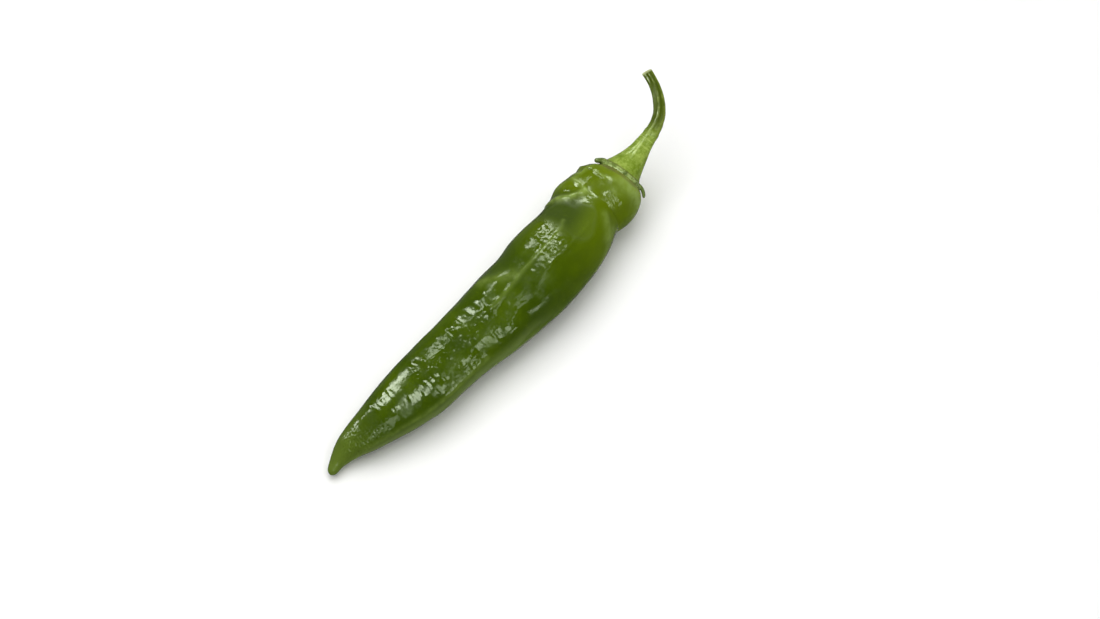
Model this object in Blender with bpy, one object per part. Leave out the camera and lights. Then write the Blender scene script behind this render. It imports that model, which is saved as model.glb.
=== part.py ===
# A long green chilli pepper lying on a table: its pod, and the stem with the calyx that caps the pod.
# +Z is up and +X runs along the pod from its tip to its stem. The origin is in the middle of the
# small flat spot that the pod rests on. Lengths are in millimetres, and MM turns them into metres.

import bpy
import bmesh
import numpy as np

MM = 0.001

# Stations along the pod, from its tip to its crown: x, y, z of the middle, half width, half height.
POD_STATIONS = [
    (-98.8, 4.9, 3.2, 0.0, 0.0),
    (-98.1, 5.2, 3.3, 1.5, 1.5),
    (-95.0, 6.2, 3.8, 2.5, 2.4),
    (-88.5, 6.9, 5.8, 4.7, 4.5),
    (-76.0, 5.0, 8.7, 8.0, 7.7),
    (-56.0, 2.6, 11.5, 11.9, 11.5),
    (-33.0, 2.3, 12.6, 12.8, 12.8),
    (-10.0, 0.9, 13.9, 14.9, 14.6),
    (13.0, 1.8, 14.6, 16.0, 15.5),
    (32.0, 3.5, 14.6, 14.7, 14.5),
    (45.0, 6.6, 14.8, 13.9, 14.1),
    (53.5, 5.8, 16.0, 13.5, 13.8),
    (57.6, 6.1, 17.2, 12.2, 12.5),
    (60.4, 6.5, 18.1, 8.6, 9.0),
    (61.3, 6.6, 18.4, 0.0, 0.0),
]

# Stations along the stem, from under the calyx to its cut end: x, y, z of the middle, radius.
STEM_STATIONS = [
    (57.8, 6.1, 17.3, 8.4),
    (59.4, 6.4, 17.8, 8.8),
    (60.9, 6.6, 18.3, 8.9),
    (62.0, 6.7, 18.6, 8.2),
    (63.4, 6.8, 19.0, 7.4),
    (66.8, 6.9, 19.8, 6.0),
    (71.4, 7.1, 21.2, 4.5),
    (76.6, 7.7, 22.8, 3.3),
    (80.0, 8.0, 23.9, 2.9),
    (82.9, 8.4, 24.9, 2.7),
    (87.8, 10.5, 26.9, 2.4),
    (91.4, 14.1, 29.0, 2.2),
    (94.2, 18.8, 31.1, 1.95),
    (95.7, 24.5, 33.8, 1.65),
]

# Broad lobes and dents of the pod: the route on its skin as (x, angle) points, the spread to each
# side of it, and the height, which is negative for a dent. Angles are in degrees round the pod,
# from +Y over the top at 90 to -Y at 180.
POD_RELIEF = [
    {"name": "ridge down the near side", "route": [(-86, 140), (-56, 149), (-30, 142), (8, 150)],
     "spread": 4.5, "height": 0.8},
    {"name": "flat beside that ridge", "route": [(-78, 185), (-50, 190), (-20, 185)],
     "spread": 6.0, "height": -0.6},
    {"name": "ridge down the far side", "route": [(-78, 72), (-50, 70), (-20, 66)],
     "spread": 4.5, "height": 0.6},
    {"name": "hollow between the ridges", "route": [(-60, 98), (-34, 104), (-5, 118)],
     "spread": 4.0, "height": -0.5},
    {"name": "valley behind the crown", "route": [(27, 48), (31, 75), (33, 96)],
     "spread": 4.6, "height": -1.3},
    {"name": "fold above the valley", "route": [(34, 34), (38, 62), (42, 88)],
     "spread": 3.2, "height": 0.8},
    {"name": "crumpled hollow on the shoulder", "route": [(43, 48), (44, 72)],
     "spread": 2.8, "height": -0.9},
    {"name": "far shoulder lobe", "route": [(50, 20), (51, 62)], "spread": 4.0, "height": 0.6},
    {"name": "crown lobe on top", "route": [(52, 92), (54, 118)], "spread": 4.5, "height": 0.7},
    {"name": "neck on the near side", "route": [(38, 150), (39, 196), (38, 232)],
     "spread": 4.6, "height": -1.6},
    {"name": "near shoulder lobe", "route": [(52, 150), (52, 215)], "spread": 5.0, "height": 0.7},
    {"name": "groove under the near shoulder", "route": [(56, 240), (40, 243), (22, 236)],
     "spread": 4.0, "height": -1.0},
    {"name": "groove under the far shoulder", "route": [(56, 328), (40, 332), (24, 338)],
     "spread": 4.0, "height": -1.1},
    {"name": "long hollow on the far side", "route": [(4, 2), (-22, 352), (-46, 356)],
     "spread": 6.0, "height": -0.9},
]

LOBES_GROWN = 6.0  # the pod's radius from which the lobes have their full height

# The low points that the pod stands on, as (x, y). The flat spot between them lies a hair higher.
REST_POINTS = [(-22.0, 4.0), (21.0, 5.2), (5.0, -2.8)]
REST_RADIUS, REST_FADE = 1.8, 4.0  # of each low point, and where it has risen to the flat spot
REST_LIFT = 0.15

POD_RINGS, POD_SIDES = 62, 40
STEM_RINGS, STEM_SIDES = 42, 30
TOOTH_RINGS, TOOTH_SIDES = 8, 8
END_PULL = 0.09  # how far rows are drawn towards both ends

RIB_COUNT = 5
RIB_HEIGHT = 0.22  # of each lengthwise rib above and below the stem's mean radius
RIB_TURN = 14  # degrees from +Y to the first rib
RIBS_START, RIBS_FULL = 63.0, 78.0  # x over which the ribs grow out of the calyx
PITH_SHARE = 0.6  # of the cut end's radius
PITH_FLOOR_SHARE = 0.36
PITH_DEPTH = 0.4

SEAT_GAP = 0.3  # between the calyx and the crown that it caps

# The calyx's teeth: angle round the rim, length past the rim, half width, and how far the end lifts
# off the pod's skin.
TEETH = [
    {"name": "tooth_far", "angle": 22, "length": 3.2, "half_width": 1.5, "lift": 2.2},
    {"name": "tooth_top", "angle": 98, "length": 1.6, "half_width": 1.3, "lift": 0.2},
    {"name": "tooth_near", "angle": 180, "length": 5.4, "half_width": 1.1, "lift": 0.3},
    {"name": "tooth_low", "angle": 232, "length": 2.2, "half_width": 1.5, "lift": 0.2},
    {"name": "tooth_under", "angle": 284, "length": 3.4, "half_width": 1.3, "lift": 0.3},
    {"name": "tooth_back", "angle": 330, "length": 2.0, "half_width": 1.5, "lift": 0.6},
]
TOOTH_PROFILE = [  # shares of the tooth's length, half width and half thickness
    (0.0, 0.0, 0.0),
    (0.15, 0.9, 0.8),
    (0.4, 1.0, 1.0),
    (0.7, 0.85, 0.95),
    (0.92, 0.65, 0.85),
    (1.0, 0.0, 0.0),
]
TOOTH_HALF_THICKNESS = 0.7
TOOTH_CLEARANCE = 0.45  # between the pod's skin and the underside of a tooth
TOOTH_ROOT_RADIUS = 6.4  # of the crown where a tooth starts, well under the calyx
TOOTH_ROOT_LENGTH = 2.6  # from there to the rim


def clear_scene():
    for obj in list(bpy.data.objects):
        bpy.data.objects.remove(obj, do_unlink=True)


def new_collection(name):
    collection = bpy.data.collections.new(name)
    bpy.context.scene.collection.children.link(collection)
    return collection


def principled(name, colour, roughness):
    material = bpy.data.materials.new(name)
    material.use_nodes = True
    shader = material.node_tree.nodes["Principled BSDF"]
    shader.inputs["Base Color"].default_value = (*colour, 1.0)
    shader.inputs["Roughness"].default_value = roughness
    shader.inputs["Metallic"].default_value = 0.0
    material.diffuse_color = (*colour, 1.0)
    return material


def smooth_rows(stations, shares):
    # A smooth curve through the stations, read at shares of its length from 0 to 1.
    rows = np.array(stations, float)
    steps = np.linalg.norm(np.diff(rows, axis=0), axis=1)
    at = np.concatenate([[0.0], np.cumsum(steps)])
    slopes = np.diff(rows, axis=0) / steps[:, None]
    tangents = np.empty_like(rows)
    tangents[0], tangents[-1] = slopes[0], slopes[-1]
    before, after = steps[:-1, None], steps[1:, None]
    tangents[1:-1] = (slopes[:-1] * after + slopes[1:] * before) / (before + after)
    where = shares * at[-1]
    k = np.clip(np.searchsorted(at, where, side="right") - 1, 0, len(steps) - 1)
    width = steps[k][:, None]
    t = (where - at[k])[:, None] / width
    return (
        (2 * t**3 - 3 * t**2 + 1) * rows[k]
        + (t**3 - 2 * t**2 + t) * width * tangents[k]
        + (3 * t**2 - 2 * t**3) * rows[k + 1]
        + (t**3 - t**2) * width * tangents[k + 1]
    )


def ring_axes(middles):
    # For each ring, the directions that its width and its height run in.
    along = np.gradient(middles, axis=0)
    along /= np.linalg.norm(along, axis=1)[:, None]
    side = np.cross([0.0, 0.0, 1.0], along)
    side /= np.linalg.norm(side, axis=1)[:, None]
    return side, np.cross(along, side), along


def end_weighted(count):
    # Shares from 0 to 1 that lie closer together near both ends.
    even = np.linspace(0, 1, count)
    return even - END_PULL * np.sin(2 * np.pi * even)


def formed_mesh(name, middles, half_widths, half_heights, axes, sides, relief=None):
    # A UV sphere whose rings are set on the middles, so it stays closed with its faces outwards.
    # The first and the last row are its poles. relief gives each point's height above its ring.
    rings = len(middles) - 1
    side, rise, _ = axes
    mesh = bpy.data.meshes.new(name)
    bm = bmesh.new()
    bmesh.ops.create_uvsphere(bm, u_segments=sides, v_segments=rings, radius=1.0)
    ball = np.array([vertex.co for vertex in bm.verts])
    ring = np.rint((1 - np.arccos(np.clip(ball[:, 2], -1, 1)) / np.pi) * rings).astype(int)
    angle = np.arctan2(ball[:, 1], ball[:, 0])
    height = relief(ring, angle) if relief else np.zeros(len(ball))
    across = (half_widths[ring] + height) * np.cos(angle)
    upward = (half_heights[ring] + height) * np.sin(angle)
    pole = (ring == 0) | (ring == rings)
    across[pole] = upward[pole] = 0
    points = middles[ring] + across[:, None] * side[ring] + upward[:, None] * rise[ring]
    for vertex, point in zip(bm.verts, points):
        vertex.co = point * MM
    bm.to_mesh(mesh)
    bm.free()
    return mesh


def route_distance(route, x, angle, radius):
    # How far each point of the skin lies from the route, measured on the unrolled skin.
    nearest = np.full(len(x), np.inf)
    for (x0, a0), (x1, a1) in zip(route[:-1], route[1:]):
        for share in np.linspace(0, 1, 9):
            turn = (angle - (a0 + share * (a1 - a0)) + 180) % 360 - 180
            arc = np.radians(turn) * radius
            nearest = np.minimum(nearest, np.hypot(x - (x0 + share * (x1 - x0)), arc))
    return nearest


def pod_form():
    rows = smooth_rows(POD_STATIONS, end_weighted(POD_RINGS + 1))
    middles, half_widths, half_heights = rows[:, :3], rows[:, 3], rows[:, 4]

    def relief(ring, angle):
        radius = (half_widths + half_heights)[ring] / 2
        total = np.zeros(len(ring))
        for item in POD_RELIEF:
            away = route_distance(item["route"], middles[ring, 0], np.degrees(angle), radius)
            total += item["height"] * np.exp(-((away / item["spread"]) ** 2))
        return total * np.clip(radius / LOBES_GROWN, 0, 1)

    return middles, half_widths, half_heights, relief


def rest_height(x, y):
    # How high the pressed skin lies over the table: nothing at the low points, the lift elsewhere.
    away = min(np.hypot(x - px, y - py) for px, py in REST_POINTS)
    return REST_LIFT * np.clip((away - REST_RADIUS) / (REST_FADE - REST_RADIUS), 0, 1)


def make_pod(material):
    middles, half_widths, half_heights, relief = pod_form()
    axes = ring_axes(middles)
    mesh = formed_mesh("pod", middles, half_widths, half_heights, axes, POD_SIDES, relief)
    for vertex in mesh.vertices:
        # The skin presses flat where the pod lies on the table.
        x, y, z = vertex.co / MM
        vertex.co.z = max(z, rest_height(x, y)) * MM
    mesh.materials.append(material)
    mesh.shade_smooth()
    return bpy.data.objects.new("pod", mesh)


def stem_rows():
    # The wall's rows with the caps' rows at both ends: flat under the calyx, hollowed at the cut.
    wall = smooth_rows(STEM_STATIONS, end_weighted(STEM_RINGS - 2))
    along = ring_axes(wall[:, :3])[2]
    under = wall[0].copy()
    under[3] = 0
    pith_rim = wall[-1].copy()
    pith_rim[3] *= PITH_SHARE
    pith = wall[-1].copy()
    pith[:3] -= PITH_DEPTH * along[-1]
    pith[3] *= PITH_FLOOR_SHARE
    centre = pith.copy()
    centre[3] = 0
    return np.vstack([under, wall, pith_rim, pith, centre])


def stem_axes(rows):
    # The cap's rows keep the direction of the wall's last ring.
    wall = slice(1, len(rows) - 3)
    side, rise, along = ring_axes(rows[wall, :3])
    ends = (1, 3)
    return tuple(np.pad(a, (ends, (0, 0)), mode="edge") for a in (side, rise, along))


def make_stem(material):
    rows = stem_rows()
    middles, radii = rows[:, :3], rows[:, 3]
    grown = np.clip((middles[:, 0] - RIBS_START) / (RIBS_FULL - RIBS_START), 0, 1)

    thin = np.clip(radii / STEM_STATIONS[-1][3], 0, 1)

    def ribs(ring, angle):
        return RIB_HEIGHT * (grown * thin)[ring] * np.cos(RIB_COUNT * (angle - np.radians(RIB_TURN)))

    mesh = formed_mesh("stem", middles, radii, radii, stem_axes(rows), STEM_SIDES, ribs)
    mesh.materials.append(material)
    mesh.shade_smooth()
    return bpy.data.objects.new("stem", mesh)


def skin_line(angle):
    # The line down the pod's skin at this angle, from the crown on, with the skin's outward normals.
    middles, half_widths, half_heights, relief = pod_form()
    side, rise, _ = ring_axes(middles)
    rings = np.arange(len(middles))
    height = relief(rings, np.full(len(middles), angle))
    outward = np.cos(angle) * side + np.sin(angle) * rise
    radius = np.hypot((half_widths + height) * np.cos(angle), (half_heights + height) * np.sin(angle))
    line = (middles + radius[:, None] * outward)[::-1]
    along = np.gradient(line, axis=0)
    along /= np.linalg.norm(along, axis=1)[:, None]
    normal = outward[::-1] - (outward[::-1] * along).sum(axis=1)[:, None] * along
    normal /= np.linalg.norm(normal, axis=1)[:, None]
    start = int(np.argmax(radius[::-1] > TOOTH_ROOT_RADIUS))
    return line[start:], normal[start:]


def make_tooth(tooth):
    # A blunt blade that follows the pod's skin from under the rim, and lifts off it at its end.
    line, normal = skin_line(np.radians(tooth["angle"]))
    lengths = np.concatenate([[0], np.cumsum(np.linalg.norm(np.diff(line, axis=0), axis=1))])
    shares, width_shares, thickness_shares = np.array(TOOTH_PROFILE).T
    at = shares * (tooth["length"] + TOOTH_ROOT_LENGTH)
    skin = np.column_stack([np.interp(at, lengths, line[:, i]) for i in range(3)])
    out = np.column_stack([np.interp(at, lengths, normal[:, i]) for i in range(3)])
    height = TOOTH_HALF_THICKNESS + TOOTH_CLEARANCE + tooth["lift"] * shares**2
    spine = skin + height[:, None] * out
    widths = tooth["half_width"] * width_shares
    thickness = TOOTH_HALF_THICKNESS * thickness_shares
    rows = smooth_rows(np.column_stack([spine, widths, thickness]), end_weighted(TOOTH_RINGS + 1))
    forward = np.gradient(rows[:, :3], axis=0)
    forward /= np.linalg.norm(forward, axis=1)[:, None]
    across = np.cross(out[0], forward)
    across /= np.linalg.norm(across, axis=1)[:, None]
    axes = (across, np.cross(forward, across), forward)
    mesh = formed_mesh(tooth["name"], rows[:, :3], rows[:, 3], rows[:, 4], axes, TOOTH_SIDES)
    return bpy.data.objects.new(tooth["name"], mesh)


def hide_helper(obj, collection):
    collection.objects.link(obj)
    obj.hide_render = True
    obj.display_type = "WIRE"


def seat_cutter(pod):
    # The pod grown by the gap, which cuts the hollow underside of the calyx.
    cutter = bpy.data.objects.new("seat_cutter", pod.data.copy())
    grow = cutter.modifiers.new("gap", "DISPLACE")
    grow.mid_level = 0.0
    grow.strength = SEAT_GAP * MM
    return cutter


def boolean(obj, name, operation, other=None, collection=None):
    modifier = obj.modifiers.new(name, "BOOLEAN")
    modifier.operation = operation
    modifier.solver = "EXACT"
    if collection:
        modifier.operand_type = "COLLECTION"
        modifier.collection = collection
    else:
        modifier.object = other
    return modifier


def build_pepper():
    clear_scene()
    pepper = new_collection("chilli_pepper")
    helpers = new_collection("cutters")
    teeth = bpy.data.collections.new("calyx_teeth")
    helpers.children.link(teeth)
    helpers.hide_render = True

    pod_skin = principled("pod_skin", (0.070, 0.150, 0.006), 0.22)
    stem_skin = principled("stem_skin", (0.200, 0.310, 0.055), 0.55)

    pod = make_pod(pod_skin)
    stem = make_stem(stem_skin)
    for obj in (pod, stem):
        pepper.objects.link(obj)
    for tooth in TEETH:
        hide_helper(make_tooth(tooth), teeth)
    cutter = seat_cutter(pod)
    hide_helper(cutter, helpers)

    boolean(stem, "join_teeth", "UNION", collection=teeth)
    boolean(stem, "cut_seat", "DIFFERENCE", other=cutter)


build_pepper()
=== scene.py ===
# Looks of the long green chilli pepper: its pod, its stem with the calyx, the studio and the camera.
import math

import bpy
import numpy as np
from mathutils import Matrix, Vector, noise


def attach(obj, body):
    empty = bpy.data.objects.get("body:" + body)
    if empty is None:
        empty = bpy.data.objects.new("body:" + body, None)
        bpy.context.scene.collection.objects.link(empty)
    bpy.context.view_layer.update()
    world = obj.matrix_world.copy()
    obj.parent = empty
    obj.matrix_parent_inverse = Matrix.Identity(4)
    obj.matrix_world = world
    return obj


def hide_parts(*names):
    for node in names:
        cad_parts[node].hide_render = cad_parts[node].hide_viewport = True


mm = 0.001
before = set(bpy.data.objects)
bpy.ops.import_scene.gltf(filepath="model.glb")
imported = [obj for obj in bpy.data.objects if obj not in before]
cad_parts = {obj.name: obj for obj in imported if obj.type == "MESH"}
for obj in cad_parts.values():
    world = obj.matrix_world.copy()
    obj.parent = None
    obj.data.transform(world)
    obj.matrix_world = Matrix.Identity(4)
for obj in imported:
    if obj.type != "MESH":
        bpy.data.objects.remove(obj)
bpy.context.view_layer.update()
bpy.ops.object.select_all(action="DESELECT")
print("frame loaded")


# Camera: the pepper lies flat here, so it looks further down than the photographer did
shot = {"azimuth": -47.85, "elevation": 60.0, "distance": 0.98, "aim": (0.0073, -0.0063, 0.0), "lens": 85.0}


def directionTo(azimuth, elevation):
    a, e = math.radians(azimuth), math.radians(elevation)
    return Vector((math.sin(a) * math.cos(e), -math.cos(a) * math.cos(e), math.sin(e)))


def addCamera():
    back = directionTo(shot["azimuth"], shot["elevation"])
    bpy.ops.object.camera_add(
        location=Vector(shot["aim"]) + back * shot["distance"],
        rotation=back.to_track_quat("Z", "Y").to_euler(),
    )
    camera = bpy.context.object
    camera.name = "camera"
    camera.data.lens = shot["lens"]
    camera.data.sensor_width = 36.0
    camera.data.clip_start = 0.01
    bpy.context.scene.camera = camera


addCamera()
print("camera placed")


# Shader sums: a socket that can be written in Python expressions
class Shade:
    def __init__(self, tree, socket):
        self.tree, self.socket = tree, socket

    def node(self, kind, inputs=(), output=0, **settings):
        made = self.tree.nodes.new(kind)
        for key, value in settings.items():
            setattr(made, key, value)
        for key, value in dict(inputs).items():
            socket = made.inputs[key]
            if isinstance(value, Shade):
                self.tree.links.new(value.socket, socket)
            elif isinstance(value, (tuple, list)) and socket.type == "RGBA" and len(value) == 3:
                socket.default_value = (*value, 1.0)
            else:
                socket.default_value = value
        return Shade(self.tree, made.outputs[output])

    def maths(self, operation, other, flipped=False):
        first, second = (other, self) if flipped else (self, other)
        return self.node("ShaderNodeMath", {0: first, 1: second}, operation=operation)

    def __add__(self, other):
        return self.maths("ADD", other)

    def __sub__(self, other):
        return self.maths("SUBTRACT", other)

    def __rsub__(self, other):
        return self.maths("SUBTRACT", other, flipped=True)

    def __mul__(self, other):
        return self.maths("MULTIPLY", other)

    __radd__, __rmul__ = __add__, __mul__

    def between(self, low, high):
        # 0 below low, 1 above high, smooth in between
        return self.node("ShaderNodeMapRange", {0: self, 1: low, 2: high}, interpolation_type="SMOOTHSTEP")

    def mixColour(self, first, second):
        return self.node("ShaderNodeMix", {0: self, 6: first, 7: second}, output=2, data_type="RGBA")


def startMaterial(name):
    material = bpy.data.materials.new(name)
    material.use_nodes = True
    tree = material.node_tree
    shader = tree.nodes["Principled BSDF"]
    start = Shade(tree, tree.nodes.new("ShaderNodeTexCoord").outputs["Object"])
    return material, tree, shader, start


def attribute(start, name):
    return start.node("ShaderNodeAttribute", output="Fac", attribute_name=name)


def noiseAt(place, scale, detail=3.0, roughness=0.5):
    return place.node(
        "ShaderNodeTexNoise", {"Vector": place, "Scale": scale, "Detail": detail, "Roughness": roughness}
    )


def bumped(start, height, distance, strength):
    return start.node("ShaderNodeBump", {"Height": height, "Distance": distance, "Strength": strength})


def setShader(tree, shader, links, values):
    for key, value in links.items():
        tree.links.new(value.socket, shader.inputs[key])
    for key, value in values.items():
        shader.inputs[key].default_value = value


# Studio: a white sweep in a dim room. Some lights only light the skin, others only gleam on it.
studio = {
    "floorSize": 6.0,
    "floorColour": (0.93, 0.93, 0.92),
    "floorShade": 0.985,  # of its colour, in faint clouds
    "roomColour": (1.0, 1.0, 0.99),
    "roomStrength": 0.22,
    # each light: the point it faces in millimetres, the direction to it from there, its distance,
    # width and height in metres, and its radiance
    "lights": {
        "key": ((0, 0, 0), (0.0, 0.24, 0.97), 1.1, 1.3, 1.0, 2.2),
        "fill": ((0, 0, 0), (0.10, -0.45, 0.89), 1.15, 0.60, 0.40, 2.1),
        "overhead": ((0, 0, 0), (0.0, 0.0, 1.0), 1.6, 2.4, 2.4, 0.70),
    },
    "gleams": {
        "far low": ((-61, 5, 21), (-0.03, 0.74, 0.67), 0.50, 0.120, 0.13, 70.0),
        "far middle": ((-43, 4, 24), (0.22, 0.52, 0.82), 0.22, 0.038, 0.040, 38.0),
        "far upper": ((18, 6, 29), (0.44, 0.74, 0.51), 0.35, 0.055, 0.085, 36.0),
        "wedge": ((-81, 7, 14), (-0.23, 0.90, 0.36), 0.25, 0.024, 0.10, 40.0),
        "tip": ((-78, 1, 14), (-0.50, -0.55, 0.67), 0.45, 0.20, 0.16, 12.0),
        "middle": ((-60, -2, 20), (-0.13, -0.30, 0.94), 0.35, 0.085, 0.10, 60.0),
        "low": ((-44, -9, 19), (0.23, -0.955, 0.20), 0.35, 0.07, 0.05, 24.0),
        "near": ((-23, -8, 22), (0.01, -0.78, 0.62), 0.30, 0.055, 0.13, 29.0),
        "top": ((14, 0, 30), (0.36, 0.20, 0.91), 0.40, 0.085, 0.06, 36.0),
        "crown": ((40, 5, 29), (0.38, 0.02, 0.92), 0.25, 0.056, 0.050, 38.0),
        "body": ((-8, -5, 27), (0.27, -0.53, 0.81), 0.40, 0.12, 0.06, 12.0),
        "stem": ((70, 7, 25), (0.22, 0.15, 0.96), 0.20, 0.042, 0.042, 15.0),
    },
}


def addSoftbox(name, target, direction, distance, width, height, radiance):
    away = Vector(direction).normalized()
    bpy.ops.object.light_add(
        type="AREA",
        location=Vector(target) * mm + away * distance,
        rotation=away.to_track_quat("Z", "Y").to_euler(),
    )
    box = bpy.context.object
    box.name = "softbox_" + name
    box.data.shape = "RECTANGLE"
    box.data.size, box.data.size_y = width, height
    box.data.energy = radiance * math.pi * width * height
    box.visible_camera = False
    return box


def addStudio():
    bpy.ops.mesh.primitive_plane_add(size=studio["floorSize"], location=(0, 0, 0))
    floor = bpy.context.object
    floor.name = "floor"
    material, tree, shader, start = startMaterial("white sweep")
    shaded = tuple(part * studio["floorShade"] for part in studio["floorColour"])
    colour = noiseAt(start, 3.0).between(0.3, 0.7).mixColour(studio["floorColour"], shaded)
    setShader(tree, shader, {"Base Color": colour}, {"Roughness": 0.85, "Specular IOR Level": 0.2})
    floor.data.materials.append(material)
    floor.visible_glossy = False  # else its image greys the skin along both edges
    world = bpy.data.worlds.new("room")
    world.use_nodes = True
    background = world.node_tree.nodes["Background"]
    background.inputs["Color"].default_value = (*studio["roomColour"], 1.0)
    background.inputs["Strength"].default_value = studio["roomStrength"]
    bpy.context.scene.world = world
    for name, settings in studio["lights"].items():
        addSoftbox(name, *settings).visible_glossy = False
    for name, settings in studio["gleams"].items():
        addSoftbox("gleam_" + name, *settings).visible_diffuse = False
    bpy.context.scene.view_settings.view_transform = "Standard"


addStudio()
print("studio lit")


# Forms: rings along a spine, extruded one by one as by hand
def smoothRows(stations, shares):
    # a smooth curve through the stations, read at shares of its length
    rows = np.array(stations, float)
    steps = np.linalg.norm(np.diff(rows, axis=0), axis=1)
    at = np.concatenate([[0.0], np.cumsum(steps)])
    slopes = np.diff(rows, axis=0) / steps[:, None]
    tangents = np.vstack([slopes[:1], slopes[:1].repeat(len(rows) - 2, 0), slopes[-1:]])
    before, after = steps[:-1, None], steps[1:, None]
    tangents[1:-1] = (slopes[:-1] * after + slopes[1:] * before) / (before + after)
    where = shares * at[-1]
    k = np.clip(np.searchsorted(at, where, side="right") - 1, 0, len(steps) - 1)
    width = steps[k][:, None]
    t = (where - at[k])[:, None] / width
    return (
        (2 * t**3 - 3 * t**2 + 1) * rows[k]
        + (t**3 - 2 * t**2 + t) * width * tangents[k]
        + (3 * t**2 - 2 * t**3) * rows[k + 1]
        + (t**3 - t**2) * width * tangents[k + 1]
    )


def endWeighted(count, pull=0.09):
    even = np.linspace(0, 1, count)
    return even - pull * np.sin(2 * np.pi * even)


def alongSpine(middles):
    along = np.gradient(middles, axis=0)
    return along / np.linalg.norm(along, axis=1)[:, None]


def turnSelection(angle, axis, centre):
    # with no window this operator turns the other way, so the angle's sign is changed
    bpy.ops.transform.rotate(value=-angle, orient_axis=axis, center_override=centre)


def layRings(name, rows, sides):
    # rows are x, y, z, half width and half height in millimetres, and run along +X
    along = alongSpine(rows[:, :3])
    yaw = np.arctan2(along[:, 1], along[:, 0])
    pitch = np.arcsin(along[:, 2])
    spots = rows[:, :3] * mm
    bpy.ops.mesh.primitive_circle_add(
        vertices=sides, radius=rows[0, 3] * mm, fill_type="NGON",
        location=spots[0], rotation=(0, math.pi / 2, 0),
    )
    piece = bpy.context.object
    piece.name = piece.data.name = name
    bpy.ops.object.transform_apply(location=True, rotation=True, scale=True)
    bpy.ops.object.mode_set(mode="EDIT")
    bpy.ops.mesh.select_all(action="SELECT")
    bpy.ops.transform.resize(value=(1, 1, rows[0, 4] / rows[0, 3]), center_override=spots[0])
    turnSelection(-pitch[0], "Y", spots[0])
    turnSelection(yaw[0], "Z", spots[0])
    for i in range(1, len(rows)):
        bpy.ops.mesh.extrude_region_move(TRANSFORM_OT_translate={"value": spots[i] - spots[i - 1]})
        turnSelection(-yaw[i - 1], "Z", spots[i])
        turnSelection(pitch[i - 1], "Y", spots[i])
        bpy.ops.transform.resize(
            value=(1, rows[i, 3] / rows[i - 1, 3], rows[i, 4] / rows[i - 1, 4]), center_override=spots[i]
        )
        turnSelection(-pitch[i], "Y", spots[i])
        turnSelection(yaw[i], "Z", spots[i])
    bpy.ops.mesh.select_all(action="SELECT")
    bpy.ops.mesh.normals_make_consistent(inside=False)
    bpy.ops.object.mode_set(mode="OBJECT")
    return piece


def applyModifier(piece, kind, **settings):
    bpy.context.view_layer.objects.active = piece
    modifier = piece.modifiers.new(kind.lower(), kind)
    for key, value in settings.items():
        setattr(modifier, key, value)
    bpy.ops.object.modifier_apply(modifier=modifier.name)


def subdivide(piece, levels):
    applyModifier(piece, "SUBSURF", levels=levels, render_levels=levels)


def readPoints(piece):
    points = np.empty(len(piece.data.vertices) * 3, np.float32)
    piece.data.vertices.foreach_get("co", points)
    return points.reshape(-1, 3).astype(float) / mm


def writePoints(piece, points):
    piece.data.vertices.foreach_set("co", (points * mm).astype(np.float32).ravel())
    piece.data.update()


def readNormals(piece):
    normals = np.empty(len(piece.data.vertices) * 3, np.float32)
    piece.data.vertices.foreach_get("normal", normals)
    return normals.reshape(-1, 3).astype(float)


def readSpine(points, rows):
    # for each point: its place on the spine, the angle round it, the distance from it and the way out
    middles = rows[:, :3]
    along = alongSpine(middles)
    side = np.cross([0.0, 0.0, 1.0], along)
    side /= np.linalg.norm(side, axis=1)[:, None]
    rise = np.cross(along, side)
    nearest = np.empty(len(points), int)
    for part in np.array_split(np.arange(len(points)), max(1, len(points) // 4000)):
        away = points[part][:, None, :] - middles[None, :, :]
        nearest[part] = np.argmin((away**2).sum(axis=2), axis=1)
    offset = points - middles[nearest]
    across, up = (offset * side[nearest]).sum(1), (offset * rise[nearest]).sum(1)
    outward = across[:, None] * side[nearest] + up[:, None] * rise[nearest]
    radius = np.hypot(across, up)
    outward /= np.maximum(radius, 1e-6)[:, None]
    return nearest, np.degrees(np.arctan2(up, across)), radius, outward


def routeDistance(route, x, angle, radius):
    # how far each point of the skin lies from a route of (x, angle) points, on the unrolled skin
    nearest = np.full(len(x), np.inf)
    for (x0, a0), (x1, a1) in zip(route, route[1:] or route):
        away = x - x0
        arc = np.radians((angle - a0 + 180) % 360 - 180) * radius
        run, turn = x1 - x0, np.radians(a1 - a0) * radius
        share = np.clip((away * run + arc * turn) / np.maximum(run**2 + turn**2, 1e-9), 0, 1)
        nearest = np.minimum(nearest, np.hypot(away - share * run, arc - share * turn))
    return nearest


def strokes(items, x, angle, radius):
    # brush strokes on the skin: each raises or lowers it along its route
    total = np.zeros(len(x))
    for route, spread, height in items.values():
        total += height * np.exp(-((routeDistance(route, x, angle, radius) / spread) ** 2))
    return total


def noiseOf(points, size, seed=0.0):
    # smooth noise from -1 to 1 whose lumps are about this size on each axis
    scaled = points / np.array(size) + seed
    return np.array([noise.noise(Vector(p)) for p in scaled])


def storeNumbers(piece, name, values):
    layer = piece.data.attributes.new(name, "FLOAT", "POINT")
    layer.data.foreach_set("value", np.asarray(values, np.float32))


def finishPiece(piece, material):
    piece.data.materials.clear()
    piece.data.materials.append(material)
    bpy.ops.object.select_all(action="DESELECT")
    piece.select_set(True)
    bpy.context.view_layer.objects.active = piece
    bpy.ops.object.shade_smooth()
    piece.select_set(False)


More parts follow.
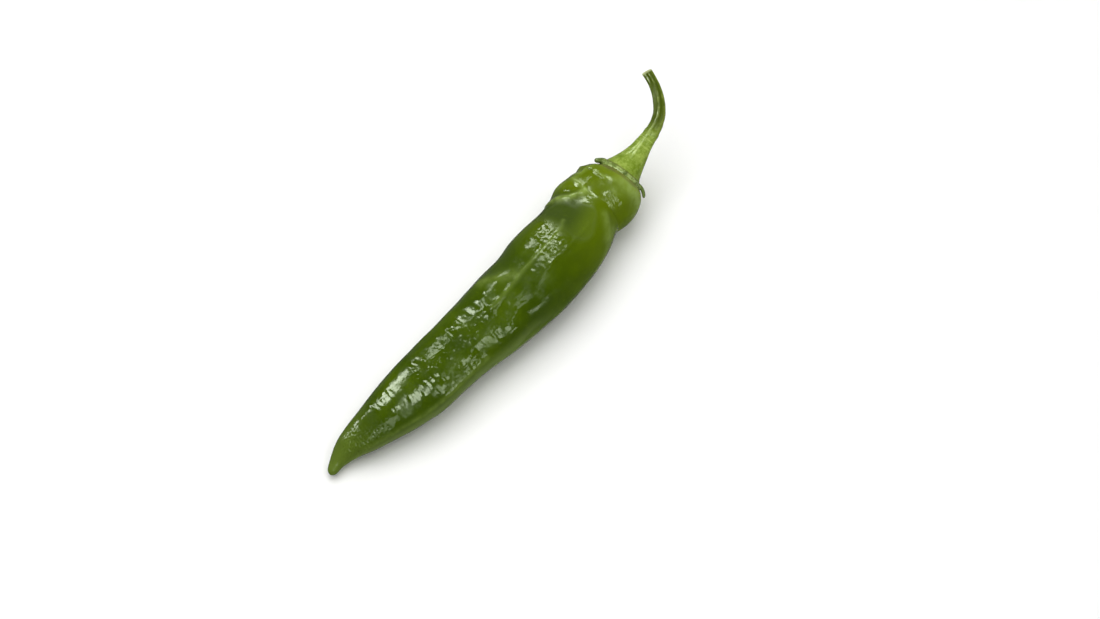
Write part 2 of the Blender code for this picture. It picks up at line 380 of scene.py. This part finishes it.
# Pod. Angles run round it in degrees, from +Y over the top at 90 to -Y at 180.
lobeFold = [(46.8, 24), (47.8, 54), (53.5, 58), (56.5, 57)]
topCrease = [(-17, 97), (0, 91), (22, 90), (27, 82)]
neckStreak = [(38, 132), (35.4, 146), (33.4, 156)]
pod = {
    "stations": [  # x, y and z of the middle, half width and half height, in millimetres
        (-98.8, 4.9, 3.2, 0.25, 0.25),
        (-98.1, 5.2, 3.3, 1.5, 1.5),
        (-95.0, 6.2, 3.8, 2.5, 2.4),
        (-88.5, 6.9, 5.8, 4.7, 4.5),
        (-76.0, 5.0, 8.7, 8.0, 7.7),
        (-56.0, 2.6, 11.5, 11.9, 11.5),
        (-33.0, 2.3, 12.6, 12.8, 12.8),
        (-10.0, 0.9, 13.9, 14.9, 14.6),
        (13.0, 1.8, 14.6, 16.0, 15.5),
        (32.0, 3.5, 14.6, 14.7, 14.5),
        (45.0, 6.6, 14.8, 13.9, 14.1),
        (53.5, 5.8, 16.0, 13.5, 13.8),
        (57.6, 6.1, 17.2, 12.2, 12.5),
        (60.4, 6.5, 18.1, 8.6, 9.0),
        (61.3, 6.6, 18.4, 0.25, 0.25),
    ],
    "rings": 60,
    "sides": 24,
    "swell": 1.011,  # makes up for what subdivision takes in
    "spineSteps": 700,
    "lobes": {  # route as (x, angle) points, spread and height
        "near ridge": ([(-86, 142), (-56, 154), (-34, 153), (-16, 144)], 5.0, 0.7),
        "flat under it": ([(-80, 180), (-52, 186), (-20, 182)], 5.0, 0.35),
        "near flank": ([(4, 180), (27, 176)], 6.0, 0.6),
        "hollow between": ([(-58, 99), (-34, 105), (-5, 118)], 3.6, -0.4),
        "valley": ([(31, 60), (30, 78), (28.5, 96), (27.5, 106)], 4.2, -1.2),
        "valley ridge": ([(36.4, 50), (38, 68), (41, 80)], 3.2, 0.6),
        "far bulge": ([(42, 28), (43, 46)], 3.2, 1.0),
        "crumpled hollow": ([(41, 60), (42.5, 72)], 2.2, -0.8),
        "between far lobes": ([(47.5, 16), (48, 46)], 1.8, -0.5),
        "far shoulder": ([(53, 18), (54, 44)], 3.4, 0.8),
        "dome": ([(56, 72), (57, 100)], 4.2, 1.1),
        "flank swell": ([(-6, 120), (-6, 150)], 5.0, 0.5),
        "crown lobe": ([(52, 114), (53, 132)], 4.0, 0.7),
        "near neck": ([(40, 150), (41, 196), (38, 232)], 5.4, -0.5),
        "near shoulder": ([(52, 150), (52, 215)], 4.4, 0.5),
        "near groove": ([(56, 240), (40, 243), (22, 236)], 4.0, -1.0),
        "far groove": ([(56, 328), (40, 332), (24, 338)], 4.0, -1.1),
        "far hollow": ([(4, 2), (-22, 352), (-46, 356)], 6.0, -0.9),
    },
    "facets": {  # dents that flatten the round skin, so that it mirrors a whole softbox
        "far low": ([(-66, 78), (-54, 78)], 3.8, -0.60),
        "far middle": ([(-46, 81), (-40, 82)], 3.0, -0.42),
        "middle": ([(-62, 116), (-55, 117)], 3.3, -0.45),
        "near": ([(-48, 149), (-39, 149)], 2.4, -0.22),
        "near crest": ([(-84, 153), (-56, 159), (-34, 158)], 1.9, 0.40),
        "crown top": ([(37.5, 93), (43, 94)], 3.4, -0.44),
        "near upper": ([(-29, 144), (-22, 134), (-15, 122)], 3.4, -0.46),
        "net": ([(14, 74), (22, 74)], 3.8, -0.47),
        "flank": ([(-7, 131), (5, 126)], 4.0, 0.0),  # no dent, only kept free of swells
        "tip wedge": ([(-81, 76)], 2.4, -0.36),
    },
    "folds": {
        "cross fold": ([(-52.6, 56), (-51.4, 80), (-52.0, 104), (-51.2, 134)], 1.4, -0.34),
        "cross fold lip": ([(-49.4, 58), (-48.8, 94), (-49.0, 130)], 1.5, 0.16),
        "far dent 1": ([(-35.5, 66), (-34.5, 92)], 1.5, -0.34),
        "far dent 2": ([(-29, 66), (-28.5, 88)], 0.9, -0.20),
        "far dent 3": ([(-24.4, 68), (-24.2, 84)], 0.8, -0.18),
        "far dent 4": ([(-20.4, 66), (-19.8, 84)], 0.8, -0.18),
        "far dent 5": ([(-16, 64), (-15, 88)], 1.2, -0.24),
        "far swell": ([(-12, 50), (-2, 86)], 4.4, 0.65),
        "tip line": ([(-72.4, 56), (-71.8, 94)], 0.6, 0.16),
        "crumpled line": ([(-54, 96), (-35, 103), (-22, 99)], 1.3, -0.22),
        "top crease": (topCrease, 0.9, 0.26),
        "top groove": ([(-15, 104), (0, 98), (20, 97)], 1.3, -0.12),
        "beaded line": ([(6, 114), (31, 117)], 0.8, 0.26),
        "valley ridge": ([(35.5, 16), (36, 40), (36.5, 58), (37.7, 69), (40.7, 81), (41.4, 82)], 1.2, 0.36),
        "lobe fold": (lobeFold, 1.0, 0.36),
        "crown crease": ([(45.5, 52), (44.6, 70), (43.9, 82)], 0.9, 0.32),
        "neck streak": (neckStreak, 2.2, 0.30),
    },
    "lined": {  # where fine lines cross the skin, with their strength
        "far low": ([(-69, 74), (-54, 76)], 4.0, 1.0),
        "middle": ([(-64, 118), (-55, 119)], 4.5, 1.9),
        "far row": ([(-48, 78), (-34, 77)], 3.2, 1.2),
        "far beads": ([(-34, 77), (-11, 78)], 3.2, 2.0),
        "near": ([(-50, 147), (-38, 147)], 3.0, 1.4),
        "crown": ([(38, 92), (43, 94)], 3.0, 0.4),
        "near upper": ([(-29, 138), (-17, 128)], 3.4, 1.2),
    },
    "netted": {  # where it is crumpled in a fine net, with its strength
        "crumpled line": ([(-54, 97), (-35, 103), (-20, 98)], 2.6, 1.2),
        "near upper": ([(-30, 140), (-20, 130), (-4, 116)], 3.2, 0.5),
        "beads": ([(2, 104), (9, 112), (31, 117)], 2.0, 1.3),
        "net": ([(14, 73), (22, 73)], 3.6, 1.5),
        "under the net": ([(9, 99), (19, 99)], 2.4, 1.2),
        "crown": ([(38, 94), (43, 96)], 3.0, 0.25),
        "dome": ([(50, 120), (54, 118)], 2.6, 0.8),
        "tip": ([(-86, 104), (-80, 128), (-75, 130)], 3.4, 0.9),
        "middle streak": ([(-40, 122), (-46, 124)], 2.0, 0.6),
        "far bulge": ([(40, 48), (46, 54)], 3.0, 0.6),
        "near": ([(-50, 147), (-38, 147)], 3.0, 0.3),
    },
    "pale": {  # where highlights and sheen are painted on as paler skin along folds, ridges and rims, with the share of it
        "valley ridge": ([(35.5, 16), (36, 40), (36.5, 58), (37.7, 69), (40.7, 81), (42.5, 85)], 1.5, 0.8),
        "lobe fold": (lobeFold, 1.1, 0.6),
        "crown crease": ([(45.5, 52), (44.6, 70), (43.7, 84)], 0.9, 0.5),
        "dome edge": ([(54.0, 72), (54.5, 86), (55, 96), (56, 104)], 1.0, 0.6),
        "right rim": ([(58, 122), (57.5, 150), (56, 190)], 3.0, 1.0),
        "crown top": ([(38, 93), (42, 95)], 2.8, 0.2),
        "crown lobe": ([(52.5, 115), (53, 123)], 2.4, 0.3),
        "top crease": (topCrease, 0.8, 0.3),
        "far swell": ([(-12, 50), (-2, 85)], 2.4, 0.35),
        "neck streak": (neckStreak, 1.8, 0.5),
        "near neck": ([(36.7, 162), (34, 166), (25, 184)], 1.5, 0.4),
        "near crest": ([(-84, 154), (-56, 158), (-30, 156)], 1.0, 0.3),
        "far lobes": ([(42.7, 26), (42.7, 40)], 2.0, 0.35),
    },
    "dull": {  # where the skin is rough
        "valley": ([(29.5, 60), (29, 110)], 3.8, 3.0),
        "valley end": ([(34, 99), (34.5, 108)], 1.8, 3.0),
    },
    "reliefNoises": {  # size of the lumps, and seed
        "warp": ((5, 5, 1), 11.0),
        "lines": ((0.85, 1.2, 1), 3.0),
        "net": ((1.05, 1.05, 1), 7.0),
        "swells": ((8, 5, 1), 19.0),
    },
    "linedHeight": 0.085,
    "linedFaint": 0.35,  # strength of the lines on the whole upper side
    "lineWave": 0.9,
    "lineLength": 0.3,  # the lower, the longer
    "nettedHeight": 0.15,
    "nettedFaint": 0.22,
    "netWave": 0.4,
    "netGap": 2.6,  # the higher, the finer the threads of the net
    "swellHeight": 0.42,
    "swellBelow": 0.35,  # share of the swells on the lower side
    "crownFade": (26, 8, 0.15),  # x where the upper side turns smooth, over what length, what is left
    "calmReach": 1.4,  # of the swell-free patch round a facet, to the facet's own spread
    "calmShare": 0.75,
    "taperRadius": 6.0,  # under this radius the relief shrinks with the pod
    "zones": {  # x, or the angle round the pod, from where to where a colour comes in
        "crown": (-4.0, 50.0),
        "valley": (20.0, 28.0),
        "valley end": (36.0, 44.0),
        "valley near end": (85.0, 120.0),
        "near": (150.0, 178.0),
        "near underside": (215.0, 250.0),
        "near neck": (-20.0, 10.0),
        "rim": (54.5, 61.0),
        "rim near side": (88.0, 124.0),
        "dome": (51.0, 56.0),
        "dome far edge": (60.0, 74.0),
        "dome near edge": (98.0, 118.0),
        "tip": (-98.0, -70.0),
        "scar": (58.2, 59.3),
    },
    "skinNoises": {  # scale, detail and roughness
        "cloud": (60.0, 4.0, 0.6),
        "rim": (180.0, 2.0),
        "streak": (420.0, 3.0),
        "fleck": (950.0, 2.0),
        "grain": (1500.0, 2.0),
        "gloss": (190.0, 3.0),
    },
    "colours": {
        "dark": (0.036, 0.068, 0.0002),
        "middle": (0.060, 0.104, 0.0004),
        # painted shade: darker down in the valley by the crown
        "valley": (0.028, 0.053, 0.0002),
        "crown": (0.104, 0.158, 0.0008),
        # paler skin under the calyx, with a painted reflection that is stronger on the near side
        "rim": (0.300, 0.405, 0.030),
        # painted sheen on the dome under the collar
        "dome": (0.150, 0.215, 0.012),
        "tip": (0.135, 0.196, 0.028),
        # painted reflection: lighter where the white floor would mirror in the near lower side
        "near": (0.140, 0.205, 0.036),
        # painted highlights and sheen along the folds, ridges and rims
        "pale": (0.250, 0.350, 0.070),
        "scar": (0.125, 0.110, 0.030),
        "fleck": (0.120, 0.170, 0.012),
    },
}


def podHeights(x, angle, radius):
    # fine lines across the skin and a fine net, strong in their patches and faint elsewhere
    noises = pod["reliefNoises"]
    arc = np.radians(angle % 360) * np.maximum(radius, 3)
    flat = np.column_stack([x, arc, np.zeros(len(x))])
    warp = noiseOf(flat, *noises["warp"])
    waved = np.column_stack([x + pod["lineWave"] * warp, arc * pod["lineLength"], warp])
    lines = noiseOf(waved, *noises["lines"])
    net = 1 - pod["netGap"] * np.abs(noiseOf(flat + pod["netWave"] * warp[:, None], *noises["net"]))
    lined = strokes(pod["lined"], x, angle, radius)
    netted = strokes(pod["netted"], x, angle, radius)
    fadeEnd, fadeLength, fadeLeft = pod["crownFade"]
    upper = np.clip(np.sin(np.radians(angle - 10)), 0, 1) * np.clip((fadeEnd - x) / fadeLength, fadeLeft, 1)
    facets = pod["facets"].items()
    patches = {name: (route, pod["calmReach"] * spread, 1.0) for name, (route, spread, _) in facets}
    calm = np.clip(strokes(patches, x, angle, radius), 0, 1)
    swells = noiseOf(flat, *noises["swells"]) * (1 - pod["calmShare"] * calm)
    return (
        pod["linedHeight"] * (lined + pod["linedFaint"] * upper) * lines
        + pod["nettedHeight"] * (netted + pod["nettedFaint"] * upper) * net
        + pod["swellHeight"] * (pod["swellBelow"] + (1 - pod["swellBelow"]) * upper) * swells
    )


def makePod():
    rows = smoothRows(pod["stations"], endWeighted(pod["rings"]))
    rows[:, 3:] *= pod["swell"]
    piece = layRings("pepper_pod", rows, pod["sides"])
    subdivide(piece, 3)
    spine = smoothRows(pod["stations"], np.linspace(0, 1, pod["spineSteps"]))
    points = readPoints(piece)
    nearest, angle, radius, outward = readSpine(points, spine)
    x = spine[nearest, 0]
    taper = np.clip(radius / pod["taperRadius"], 0, 1)
    broad = strokes(pod["lobes"], x, angle, radius) + strokes(pod["facets"], x, angle, radius)
    points += (broad * taper)[:, None] * outward
    writePoints(piece, points)
    fine = strokes(pod["folds"], x, angle, radius) + podHeights(x, angle, radius)
    points += (fine * taper)[:, None] * readNormals(piece)
    points[:, 2] = np.maximum(points[:, 2], 0.0)  # pressed flat where it lies
    writePoints(piece, points)
    storeNumbers(piece, "along", x)
    storeNumbers(piece, "around", angle % 360)
    for name in ("pale", "dull"):
        storeNumbers(piece, name, np.clip(strokes(pod[name], x, angle, radius), 0, 1))
    return piece


def podSkin():
    material, tree, shader, start = startMaterial("pod skin")
    along, around = attribute(start, "along"), attribute(start, "around")

    def cloudy(name, low, high):
        return noiseAt(start, *pod["skinNoises"][name]).between(low, high)

    def inZone(place, name):
        return place.between(*pod["zones"][name])

    colours = pod["colours"]
    colour = cloudy("cloud", 0.34, 0.68).mixColour(colours["dark"], colours["middle"])
    # painted reflection of the white floor: the near lower side turns lighter
    near = inZone(around, "near") * (1 - inZone(around, "near underside")) * (1 - inZone(along, "near neck"))
    colour = (near * 0.8).mixColour(colour, colours["near"])
    colour = inZone(along, "crown").mixColour(colour, colours["crown"])
    # painted shade: the valley by the crown is darker
    valley = inZone(along, "valley") * (1 - inZone(along, "valley end"))
    valley = valley * (1 - inZone(around, "valley near end"))
    colour = (valley * 0.8).mixColour(colour, colours["valley"])
    # paler skin under the calyx, with a painted reflection that grows towards the near side
    rim = inZone(along, "rim") * (cloudy("rim", 0.2, 0.6) * 0.5 + 0.5)
    rim = rim * (inZone(around, "rim near side") * 0.55 + 0.45)
    colour = rim.mixColour(colour, colours["rim"])
    # painted sheen: the dome under the collar is paler
    dome = inZone(along, "dome") * inZone(around, "dome far edge") * (1 - inZone(around, "dome near edge"))
    colour = (dome * 0.25).mixColour(colour, colours["dome"])
    # painted highlights and sheen: paler bands along folds, ridges and rims
    paintedSheen = attribute(start, "pale") * (cloudy("streak", 0.25, 0.65) * 0.5 + 0.5)
    colour = paintedSheen.mixColour(colour, colours["pale"])
    tip = 1 - inZone(along, "tip")
    colour = (tip * 0.7).mixColour(colour, colours["tip"])
    scar = inZone(along, "scar") * cloudy("streak", 0.30, 0.55)
    colour = (scar * 0.6).mixColour(colour, colours["scar"])
    colour = (cloudy("fleck", 0.60, 0.78) * 0.18).mixColour(colour, colours["fleck"])
    normal = bumped(start, noiseAt(start, *pod["skinNoises"]["grain"]), 0.00003, 0.6)
    rough = cloudy("gloss", 0.35, 0.70) * 0.15 + 0.105 + attribute(start, "dull") * 0.85
    setShader(
        tree, shader, {"Base Color": colour, "Normal": normal, "Roughness": rough},
        {"IOR": 1.5, "Specular IOR Level": 0.095, "Specular Tint": (0.90, 1.0, 0.80, 1.0)},
    )
    return material


podPiece = makePod()
finishPiece(podPiece, podSkin())
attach(podPiece, "root")
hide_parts("pod")
print("pod made", len(podPiece.data.polygons))


# Stem
stem = {
    "stations": [  # x, y and z of the middle, and radius: the rim, the collar, the flare, the stalk
        (58.3, 6.2, 17.5, 5.6),
        (59.3, 6.4, 17.8, 8.4),
        (60.2, 6.5, 18.0, 9.3),
        (61.0, 6.6, 18.3, 9.35),
        (61.9, 6.7, 18.6, 8.8),
        (63.2, 6.8, 19.0, 7.6),
        (66.8, 6.9, 19.8, 6.0),
        (71.4, 7.1, 21.2, 4.5),
        (76.6, 7.7, 22.8, 3.35),
        (80.0, 8.0, 23.9, 3.0),
        (82.9, 8.4, 24.9, 2.75),
        (87.8, 10.5, 26.9, 2.4),
        (91.4, 14.1, 29.0, 2.2),
        (94.2, 18.8, 31.1, 1.95),
        (95.7, 24.5, 33.8, 1.85),
    ],
    "rings": 44,
    "sides": 24,
    "pithInset": 0.55,
    "pithDepth": 0.4,
    "pithFloorInset": 0.4,
    "grain": 0.24,  # of the remesh that joins the teeth to the calyx
    "ribs": 5,
    "ribHeight": 0.24,
    "ribTurn": 14,  # degrees
    "spineSteps": 600,
    "creases": {  # rings round the stem: x, spread, height
        "over the collar": (62.6, 0.40, -0.24),
        "knuckle": (80.6, 0.9, 0.22),
        "under the knuckle": (78.8, 0.5, -0.12),
        "over the knuckle": (82.0, 0.5, -0.12),
        "cut end": (95.6, 0.8, 0.12),
    },
    "length": 52,  # along its bend
    "ribGrowth": (63, 12),  # x where the ribs start, and over what length they grow
    "reliefNoises": {  # height, size of the lumps, and seed
        "wrinkles": (0.10, (2.2, 1.1, 1), 5.0),
        "grain": (0.05, (0.7, 0.6, 1), 9.0),
        "collar edge": (0.45, (9, 2.6, 1), 2.0),
    },
    "collarFade": (63, 1.5),  # x where the uneven edge ends, and over what length
    "wallReach": 0.8,  # how far off the wall the relief fades out, so that the teeth have none
    "toothReach": 1.2,  # how far off the wall the colour of the teeth is full
    "teeth": {  # angle round the rim, length past it, half width, half thickness, lift of the end
        "far": (36, 3.0, 1.6, 1.1, 0.1),
        "top": (116, 1.0, 0.9, 0.7, 0.0),
        "near": (184, 4.4, 1.0, 0.75, 0.1),
        "low": (232, 2.2, 1.3, 0.7, 0.2),
        "under": (284, 3.2, 1.2, 0.7, 0.3),
        "back": (330, 2.0, 1.4, 0.8, 0.4),
    },
    "toothShape": [  # shares of the length, the half width and the half thickness
        (0.0, 0.10, 0.2),
        (0.08, 0.85, 0.8),
        (0.3, 1.0, 1.0),
        (0.6, 1.0, 1.0),
        (0.93, 0.85, 0.9),
        (1.0, 0.35, 0.4),
    ],
    "toothRoot": 2.4,  # how far a tooth starts under the rim
    "toothSides": 12,
    "toothGap": 0.15,  # between a tooth and the skin
    "rimReach": 8.7,  # the crown's radius where the rim lies
    "skinRings": (120, 40),  # of the skin that the teeth follow: on the whole pod, and on its crown
    "zones": {  # share of the length, or the angle round the stem, from where to where
        "stalk": (0.42, 0.62),
        "stalk near side": (105.0, 150.0),
        "stalk underside": (215.0, 260.0),
        "rings": (0.33, 0.38),
        "rings end": (0.45, 0.52),
        "flare": (0.11, 0.14),
        "crease": (0.115, 0.125),
        "crease end": (0.125, 0.14),
        "collar": (0.055, 0.075),
        "cut": (0.968, 0.986),
    },
    "skinNoises": {  # scale, detail and roughness
        "mottle": (700.0, 5.0, 0.7),
        "cloud": (160.0, 2.0),
        "fibre": (500.0, 3.0),
        "rings": (1.0, 1.0),
        "grain": (1400.0, 3.0),
    },
    "ringScale": (80.0, 0.012),  # of the pale rings, along the stem and round it
    "colours": {
        "stalk": (0.066, 0.098, 0.003),
        # lighter ridges of the stalk, also used for the painted light along its near side
        "ridge": (0.165, 0.215, 0.032),
        "flare": (0.130, 0.215, 0.004),
        "pale": (0.340, 0.450, 0.080),
        "collar": (0.130, 0.190, 0.035),
        "collarPale": (0.330, 0.430, 0.130),
        "crease": (0.080, 0.070, 0.018),
        "tooth": (0.085, 0.130, 0.020),
        "cut": (0.480, 0.520, 0.240),
    },
}


def podSkinLine(angle):
    # the line down the pod's skin at this angle from the crown on, with the normals of the skin
    allRings, crownRings = stem["skinRings"]
    rows = smoothRows(pod["stations"], endWeighted(allRings))[::-1]
    along = -alongSpine(rows[:, :3])
    side = np.cross([0.0, 0.0, 1.0], along)
    side /= np.linalg.norm(side, axis=1)[:, None]
    rise = np.cross(along, side)
    outward = np.cos(angle) * side + np.sin(angle) * rise
    line = rows[:, :3] + rows[:, 3:4] * np.cos(angle) * side + rows[:, 4:5] * np.sin(angle) * rise
    ahead = np.gradient(line, axis=0)
    ahead /= np.linalg.norm(ahead, axis=1)[:, None]
    normal = outward - (outward * ahead).sum(axis=1)[:, None] * ahead
    normal /= np.linalg.norm(normal, axis=1)[:, None]
    lengths = np.concatenate([[0.0], np.cumsum(np.linalg.norm(np.diff(line, axis=0), axis=1))])
    reach = np.linalg.norm(line - rows[:, :3], axis=1)
    rim = float(np.interp(stem["rimReach"], reach[:crownRings], lengths[:crownRings]))
    return line, normal, ahead, lengths, rim


def makeTooth(name, angle, length, halfWidth, halfThickness, lift):
    shape = np.array(stem["toothShape"])
    whole = length + stem["toothRoot"]
    rows = np.column_stack([
        shape[:, 0] * whole, np.zeros(len(shape)), np.zeros(len(shape)),
        shape[:, 1] * halfWidth, shape[:, 2] * halfThickness,
    ])
    piece = layRings("tooth_" + name, rows, stem["toothSides"])
    subdivide(piece, 2)
    line, normal, ahead, lengths, rim = podSkinLine(math.radians(angle))
    points = readPoints(piece)
    at = rim - stem["toothRoot"] + points[:, 0]

    def onSkin(values):
        return np.column_stack([np.interp(at, lengths, values[:, i]) for i in range(3)])

    share = points[:, 0] / whole
    out = onSkin(normal)
    across = np.cross(out, onSkin(ahead))
    height = points[:, 2] + halfThickness + stem["toothGap"] + lift * share**2
    writePoints(piece, onSkin(line) + points[:, 1:2] * across + height[:, None] * out)
    bpy.ops.object.mode_set(mode="EDIT")
    bpy.ops.mesh.select_all(action="SELECT")
    bpy.ops.mesh.normals_make_consistent(inside=False)
    bpy.ops.object.mode_set(mode="OBJECT")
    return piece


def hollowCutEnd(piece, rows):
    # the pith sinks a little at the cut end
    mesh = piece.data
    for face in mesh.polygons:
        face.select = len(face.vertices) > 4 and face.center.x / mm > rows[-1, 0] - 1
    bpy.ops.object.mode_set(mode="EDIT")
    bpy.ops.mesh.select_mode(type="FACE")
    bpy.ops.mesh.inset(thickness=stem["pithInset"] * mm)
    inward = (rows[-2, :3] - rows[-1, :3]) / np.linalg.norm(rows[-2, :3] - rows[-1, :3])
    bpy.ops.transform.translate(value=inward * stem["pithDepth"] * mm)
    bpy.ops.mesh.inset(thickness=stem["pithFloorInset"] * mm)
    bpy.ops.mesh.select_mode(type="VERT")
    bpy.ops.object.mode_set(mode="OBJECT")


def makeStem():
    rows = smoothRows(stem["stations"], endWeighted(stem["rings"]))
    rows = np.column_stack([rows, rows[:, 3]])
    piece = layRings("pepper_stem", rows, stem["sides"])
    hollowCutEnd(piece, rows)
    subdivide(piece, 2)
    blades = [makeTooth(name, *settings) for name, settings in stem["teeth"].items()]
    bpy.ops.object.select_all(action="DESELECT")
    for other in blades + [piece]:
        other.select_set(True)
    bpy.context.view_layer.objects.active = piece
    bpy.ops.object.join()
    applyModifier(piece, "REMESH", mode="VOXEL", voxel_size=stem["grain"] * mm)
    applyModifier(piece, "SMOOTH", factor=0.5, iterations=3)
    spine = smoothRows(stem["stations"], np.linspace(0, 1, stem["spineSteps"]))
    points = readPoints(piece)
    nearest, angle, radius, outward = readSpine(points, spine)
    x = spine[nearest, 0]
    share = nearest / (len(spine) - 1)
    offWall = radius - spine[nearest, 3]
    onWall = np.clip(1 - np.abs(offWall) / stem["wallReach"], 0, 1)
    height = np.zeros(len(points))
    for where, spread, lift in stem["creases"].values():
        height += lift * np.exp(-(((x - where) / spread) ** 2))
    ribStart, ribLength = stem["ribGrowth"]
    grown = np.clip((x - ribStart) / ribLength, 0, 1)
    height += stem["ribHeight"] * grown * np.cos(np.radians(stem["ribs"] * (angle - stem["ribTurn"])))
    arc = np.radians(angle % 360) * radius
    flat = np.column_stack([share * stem["length"], arc, np.zeros(len(x))])
    edgeEnd, edgeLength = stem["collarFade"]
    strength = {"wrinkles": 1.0, "grain": 1.0, "collar edge": np.clip((edgeEnd - x) / edgeLength, 0, 1)}
    for name, (lift, size, seed) in stem["reliefNoises"].items():
        height += lift * strength[name] * noiseOf(flat, size, seed)
    points += (height * onWall)[:, None] * outward
    writePoints(piece, points)
    storeNumbers(piece, "share", share)
    storeNumbers(piece, "around", angle % 360)
    storeNumbers(piece, "off", np.clip(offWall / stem["toothReach"], 0, 1))
    return piece


def stemSkin():
    material, tree, shader, start = startMaterial("stem skin")
    share, off, around = (attribute(start, name) for name in ("share", "off", "around"))
    noises, colours = stem["skinNoises"], stem["colours"]
    mottle, cloud, fibre = (noiseAt(start, *noises[name]) for name in ("mottle", "cloud", "fibre"))

    def inZone(place, name):
        return place.between(*stem["zones"][name])

    flare = (mottle * 0.6 + cloud * 0.4).between(0.32, 0.68)
    flare = flare.mixColour(colours["flare"], colours["pale"])
    turned = around * math.radians(stem["ribs"]) - math.radians(stem["ribs"] * stem["ribTurn"])
    streak = start.node("ShaderNodeMath", {0: turned}, operation="COSINE")
    # painted light: the stalk is lighter along its near side
    paintedNearLight = inZone(around, "stalk near side") * (1 - inZone(around, "stalk underside"))
    ridge = (streak * 0.2 + fibre + paintedNearLight * 0.34 - 0.1).between(0.40, 0.95)
    stalk = ridge.mixColour(colours["stalk"], colours["ridge"])
    colour = inZone(share, "stalk").mixColour(flare, stalk)
    alongRings, roundRings = stem["ringScale"]
    rings = start.node("ShaderNodeCombineXYZ", {0: share * alongRings, 1: around * roundRings})
    rings = noiseAt(rings, *noises["rings"]).between(0.52, 0.66)
    rings = rings * inZone(share, "rings") * (1 - inZone(share, "rings end"))
    colour = (rings * 0.7).mixColour(colour, colours["pale"])
    collar = mottle.between(0.40, 0.62).mixColour(colours["collar"], colours["collarPale"])
    colour = (1 - inZone(share, "flare")).mixColour(colour, collar)
    crease = inZone(share, "crease") * (1 - inZone(share, "crease end")) * mottle.between(0.2, 0.5)
    colour = (crease * 0.6).mixColour(colour, colours["crease"])
    edge = (1 - inZone(share, "collar")) * cloud.between(0.35, 0.6)
    colour = (edge * 0.7).mixColour(colour, colours["crease"])
    tooth = off.between(0.15, 0.7) * (mottle.between(0.3, 0.7) * 0.3 + 0.7)
    colour = tooth.mixColour(colour, colours["tooth"])
    colour = inZone(share, "cut").mixColour(colour, colours["cut"])
    normal = bumped(start, noiseAt(start, *noises["grain"]), 0.00004, 0.6)
    setShader(
        tree, shader, {"Base Color": colour, "Normal": normal},
        {"Roughness": 0.26, "IOR": 1.5, "Specular IOR Level": 0.2, "Specular Tint": (0.9, 1.0, 0.7, 1.0)},
    )
    return material


stemPiece = makeStem()
finishPiece(stemPiece, stemSkin())
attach(stemPiece, "root")
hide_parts("stem")
print("stem made", len(stemPiece.data.polygons))
